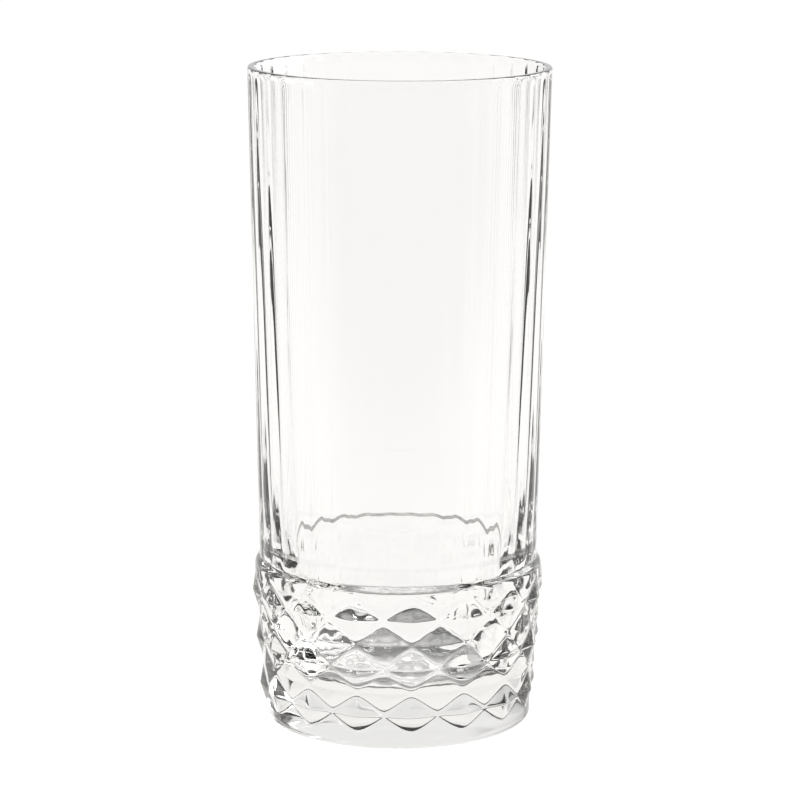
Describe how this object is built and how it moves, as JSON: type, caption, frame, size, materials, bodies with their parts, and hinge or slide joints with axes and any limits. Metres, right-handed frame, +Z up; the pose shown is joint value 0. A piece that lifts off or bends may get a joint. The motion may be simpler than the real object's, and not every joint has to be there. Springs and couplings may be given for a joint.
{
  "type": "highball glass",
  "caption": "Tall, slightly flared clear drinking glass with a shallow-fluted wall over a leaning collar and a thick base banded with pressed diamonds.",
  "frame": {"origin": "centre of the foot, at the height of the table that the glass stands on", "axes": "+Z up along the glass's axis; -Y is the front, where a column of large diamonds stands exactly in the middle; +X to the right seen from the front"},
  "size_m": [0.072, 0.072, 0.158],
  "materials": {
    "clear_glass": "clear, fire-polished"
  },
  "bodies": {
    "root": {"tumbler": "clear_glass"}
  },
  "joints": []
}
